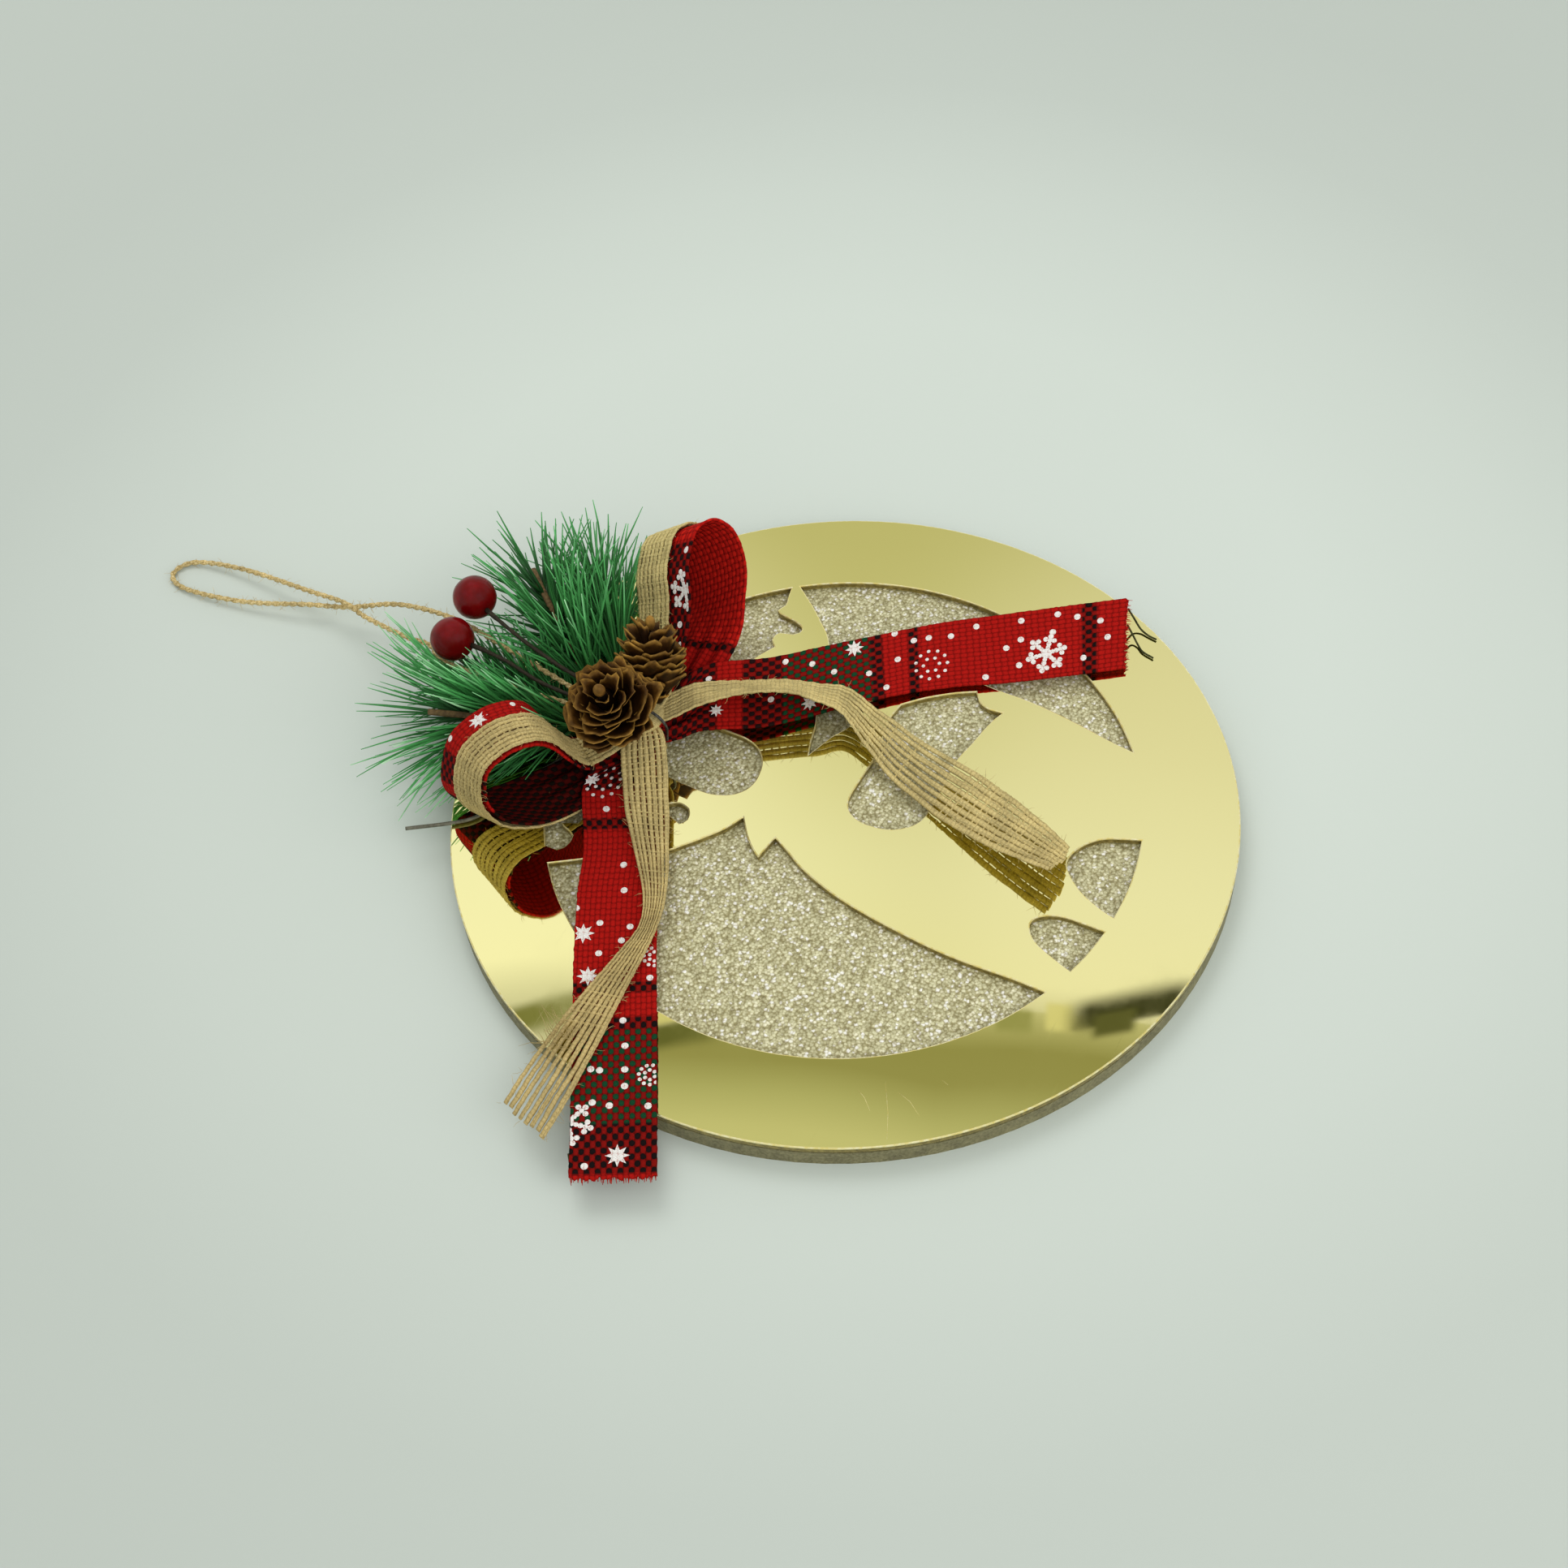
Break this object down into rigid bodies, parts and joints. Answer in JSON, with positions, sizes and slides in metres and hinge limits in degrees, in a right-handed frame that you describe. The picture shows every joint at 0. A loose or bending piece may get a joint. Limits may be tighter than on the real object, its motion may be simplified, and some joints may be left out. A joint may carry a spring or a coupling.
{
  "type": "acrylic reindeer ornament",
  "caption": "Round hanging plaque with a gold mirror panel cut as a reindeer's head over a pale glitter board, with a double ribbon bow, pine sprigs, berries, cones and a twine loop.",
  "frame": {"origin": "middle of the backing board's underside", "axes": "+Z out of the face of the plaque, +Y the way it hangs up, towards the twine loop, +X to the reindeer's back"},
  "size_m": [0.2234, 0.3133, 0.0463],
  "materials": {
    "glitter_board": "pale gold glitter face, plain beige edge",
    "gold_mirror": "pale gold mirror, laser-cut edge",
    "plaid_cloth": "woven red plaid with printed snow",
    "burlap_cloth": "coarse straw-coloured jute weave",
    "dark_wire": "dull dark wire",
    "berry_lacquer": "satin dark red",
    "cone_scales": "dry brown scales with pale tips",
    "pine_needles": "dark green moulded needles",
    "jute_twine": "twisted hairy jute"
  },
  "bodies": {
    "root": {"backing_board": "glitter_board", "mirror_panel": "gold_mirror", "plaid_ribbon": "plaid_cloth", "burlap_ribbon": "burlap_cloth", "binding_wire": "dark_wire", "pick_wire": "dark_wire", "berry_right": "berry_lacquer", "berry_left": "berry_lacquer", "berry_wire_right": "dark_wire", "berry_wire_left": "dark_wire", "cone_front": "cone_scales", "cone_back": "cone_scales", "pine_sprig_left": "pine_needles", "pine_sprig_middle": "pine_needles", "pine_sprig_right": "pine_needles", "pine_sprig_far": "pine_needles", "twine": "jute_twine"}
  },
  "joints": []
}
